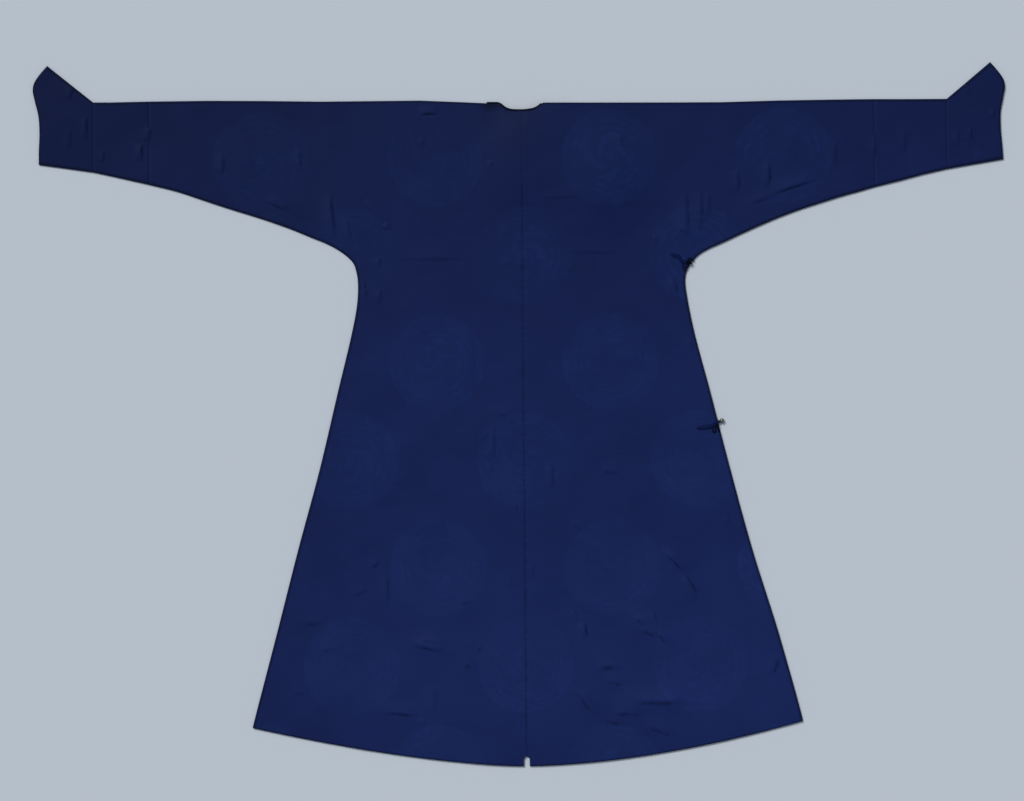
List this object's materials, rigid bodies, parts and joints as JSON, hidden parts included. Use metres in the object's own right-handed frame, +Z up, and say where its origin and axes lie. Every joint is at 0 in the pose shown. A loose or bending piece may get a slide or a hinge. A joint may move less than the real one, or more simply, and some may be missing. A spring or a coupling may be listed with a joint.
{
  "type": "informal court robe",
  "caption": "Long side-closing court robe with horse-hoof cuffs in navy silk damask, laid flat on its front with its back up.",
  "frame": {"origin": "on the surface the robe lies on, under the middle of its footprint", "axes": "+X to the wearer's right along the sleeves, +Y from hem to neck, +Z up from the surface through the robe to its back"},
  "size_m": [1.9444, 1.4084, 0.0156],
  "materials": {
    "silk_damask": "navy silk damask with a soft satin sheen and self-coloured roundels",
    "silk_cord": "near-black silk binding and corded loops",
    "brass_ball": "aged cast brass balls, worn bright on top"
  },
  "bodies": {
    "root": {"body_right": "silk_damask", "body_left": "silk_damask", "front_overlap": "silk_damask", "sleeve_right": "silk_damask", "sleeve_left": "silk_damask", "cuff_right": "silk_damask", "cuff_left": "silk_damask", "neck_binding_back": "silk_cord", "neck_binding_front": "silk_cord", "side_tab": "silk_cord", "side_loop": "silk_cord", "underarm_tab": "silk_cord", "underarm_loop": "silk_cord", "underarm_button": "silk_cord", "neck_tab": "silk_cord", "neck_loop": "silk_cord", "breast_tab": "silk_cord", "breast_loop": "silk_cord", "side_button": "brass_ball", "neck_button": "brass_ball", "breast_button": "brass_ball"}
  },
  "joints": []
}
